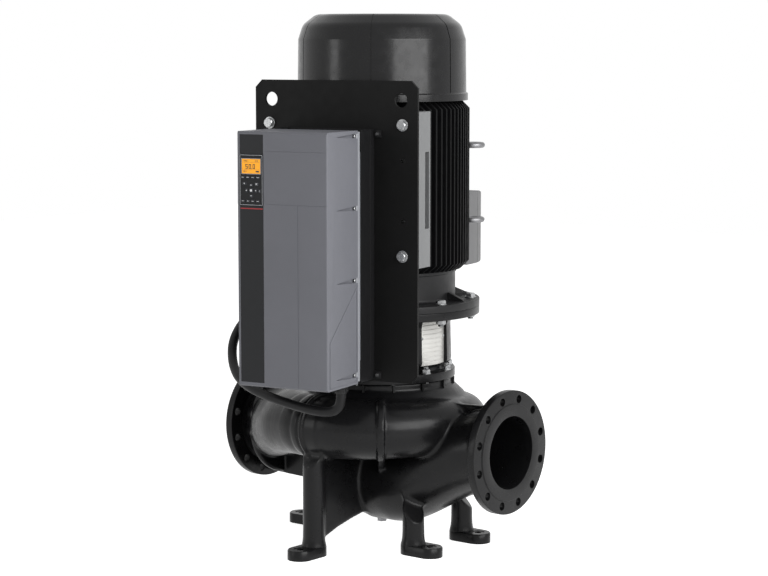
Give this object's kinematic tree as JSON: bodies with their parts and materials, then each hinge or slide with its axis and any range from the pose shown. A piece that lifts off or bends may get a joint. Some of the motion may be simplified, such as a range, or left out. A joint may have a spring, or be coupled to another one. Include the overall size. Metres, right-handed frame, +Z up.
{
  "type": "in-line centrifugal pump",
  "caption": "Vertical in-line centrifugal pump: scroll casing on feet with two flanged ports, lantern stool, finned electric motor and a frequency converter on a plate beside the motor.",
  "frame": {"origin": "on the floor under the feet, on the shaft axis", "axes": "+X along the ports towards the suction flange, +Z up along the shaft, -Y to the side of the converter, whose front is turned 11.25 degrees about Z"},
  "size_m": [0.9, 0.9728, 1.48],
  "materials": {
    "pump_black": "gloss paint",
    "bronze": "machined",
    "dark_steel": "dark",
    "seal_rubber": "matte",
    "zinc": "zinc plated",
    "ceramic": "lapped",
    "stainless": "satin",
    "coupling_iron": "machined",
    "guard_ivory": "satin",
    "bright_steel": "ground",
    "lamination": "matte",
    "copper": "enamelled",
    "bearing_steel": "polished",
    "motor_grey": "satin paint",
    "fan_plastic": "matte",
    "fan_cover_gloss": "gloss paint",
    "box_grey": "satin paint",
    "gland_plastic": "matte",
    "cable_black": "matte",
    "plate_black": "satin paint",
    "channel_black": "satin paint",
    "bare_aluminium": "extruded",
    "converter_grey": "satin",
    "converter_cover_grey": "satin",
    "strip_black": "satin",
    "keypad_dark": "satin",
    "display_glass": "clear gloss",
    "key_grey": "satin"
  },
  "bodies": {
    "pump": {"pump_casing": "pump_black", "casing_wear_ring": "bronze", "casing_plugs": "dark_steel", "pump_head": "pump_black", "head_oring": "seal_rubber", "head_studs": "zinc", "seal_seat": "ceramic", "motor_stool": "pump_black", "coupling_guards": "guard_ivory", "stator_core": "lamination", "stator_windings": "copper", "bearing_outer_rings": "bearing_steel", "drive_end_shield": "motor_grey", "flange_bolts": "zinc", "motor_frame": "motor_grey", "eyebolts": "dark_steel", "fan_end_shield": "motor_grey", "fan_cover": "fan_cover_gloss", "cover_screws": "zinc", "terminal_box": "box_grey", "terminal_box_lid": "box_grey", "cable_glands": "gland_plastic", "motor_cable": "cable_black", "mounting_plate": "plate_black", "plate_bolts": "zinc", "converter_channel": "channel_black", "heat_sink": "bare_aluminium", "converter_base": "converter_grey", "converter_cover": "converter_cover_grey", "control_strip": "strip_black", "keypad_module": "keypad_dark", "display_window": "display_glass"},
    "rotor": {"motor_shaft": "bright_steel", "rotor_core": "lamination", "pump_shaft": "stainless", "coupling_half_front": "coupling_iron", "coupling_half_back": "coupling_iron", "coupling_screws": "zinc", "impeller": "stainless", "impeller_nut": "stainless", "seal_rotating_ring": "stainless", "bearing_inner_rings": "bearing_steel", "cooling_fan": "fan_plastic"},
    "ball_sets": {"bearing_balls": "bearing_steel"},
    "key_status": {"key_status": "key_grey"},
    "key_quick_menu": {"key_quick_menu": "key_grey"},
    "key_main_menu": {"key_main_menu": "key_grey"},
    "key_alarm_log": {"key_alarm_log": "key_grey"},
    "key_back": {"key_back": "key_grey"},
    "key_cancel": {"key_cancel": "key_grey"},
    "key_info": {"key_info": "key_grey"},
    "key_up": {"key_up": "key_grey"},
    "key_down": {"key_down": "key_grey"},
    "key_left": {"key_left": "key_grey"},
    "key_right": {"key_right": "key_grey"},
    "key_ok": {"key_ok": "key_grey"},
    "key_hand_on": {"key_hand_on": "key_grey"},
    "key_off": {"key_off": "key_grey"},
    "key_auto_on": {"key_auto_on": "key_grey"},
    "key_reset": {"key_reset": "key_grey"}
  },
  "joints": [
    {"name": "rotor_spin", "type": "hinge", "parent": "pump", "child": "rotor", "pos_m": [0, 0, 0.6], "axis": [0, 0, 1], "continuous": true},
    {"name": "ball_sets_spin", "type": "hinge", "parent": "pump", "child": "ball_sets", "pos_m": [0, 0, 0.98], "axis": [0, 0, 1], "continuous": true},
    {"name": "key_status_press", "type": "slide", "parent": "pump", "child": "key_status", "axis": [-0.1951, 0.9808, 0], "range_m": [0, 0.001], "stiffness_N_per_m": 400},
    {"name": "key_quick_menu_press", "type": "slide", "parent": "pump", "child": "key_quick_menu", "axis": [-0.1951, 0.9808, 0], "range_m": [0, 0.001], "stiffness_N_per_m": 400},
    {"name": "key_main_menu_press", "type": "slide", "parent": "pump", "child": "key_main_menu", "axis": [-0.1951, 0.9808, 0], "range_m": [0, 0.001], "stiffness_N_per_m": 400},
    {"name": "key_alarm_log_press", "type": "slide", "parent": "pump", "child": "key_alarm_log", "axis": [-0.1951, 0.9808, 0], "range_m": [0, 0.001], "stiffness_N_per_m": 400},
    {"name": "key_back_press", "type": "slide", "parent": "pump", "child": "key_back", "axis": [-0.1951, 0.9808, 0], "range_m": [0, 0.001], "stiffness_N_per_m": 400},
    {"name": "key_cancel_press", "type": "slide", "parent": "pump", "child": "key_cancel", "axis": [-0.1951, 0.9808, 0], "range_m": [0, 0.001], "stiffness_N_per_m": 400},
    {"name": "key_info_press", "type": "slide", "parent": "pump", "child": "key_info", "axis": [-0.1951, 0.9808, 0], "range_m": [0, 0.001], "stiffness_N_per_m": 400},
    {"name": "key_up_press", "type": "slide", "parent": "pump", "child": "key_up", "axis": [-0.1951, 0.9808, 0], "range_m": [0, 0.001], "stiffness_N_per_m": 400},
    {"name": "key_down_press", "type": "slide", "parent": "pump", "child": "key_down", "axis": [-0.1951, 0.9808, 0], "range_m": [0, 0.001], "stiffness_N_per_m": 400},
    {"name": "key_left_press", "type": "slide", "parent": "pump", "child": "key_left", "axis": [-0.1951, 0.9808, 0], "range_m": [0, 0.001], "stiffness_N_per_m": 400},
    {"name": "key_right_press", "type": "slide", "parent": "pump", "child": "key_right", "axis": [-0.1951, 0.9808, 0], "range_m": [0, 0.001], "stiffness_N_per_m": 400},
    {"name": "key_ok_press", "type": "slide", "parent": "pump", "child": "key_ok", "axis": [-0.1951, 0.9808, 0], "range_m": [0, 0.001], "stiffness_N_per_m": 400},
    {"name": "key_hand_on_press", "type": "slide", "parent": "pump", "child": "key_hand_on", "axis": [-0.1951, 0.9808, 0], "range_m": [0, 0.001], "stiffness_N_per_m": 400},
    {"name": "key_off_press", "type": "slide", "parent": "pump", "child": "key_off", "axis": [-0.1951, 0.9808, 0], "range_m": [0, 0.001], "stiffness_N_per_m": 400},
    {"name": "key_auto_on_press", "type": "slide", "parent": "pump", "child": "key_auto_on", "axis": [-0.1951, 0.9808, 0], "range_m": [0, 0.001], "stiffness_N_per_m": 400},
    {"name": "key_reset_press", "type": "slide", "parent": "pump", "child": "key_reset", "axis": [-0.1951, 0.9808, 0], "range_m": [0, 0.001], "stiffness_N_per_m": 400}
  ],
  "couplings": [
    {"joint": "ball_sets_spin", "follows": "rotor_spin", "ratio": 0.394}
  ]
}
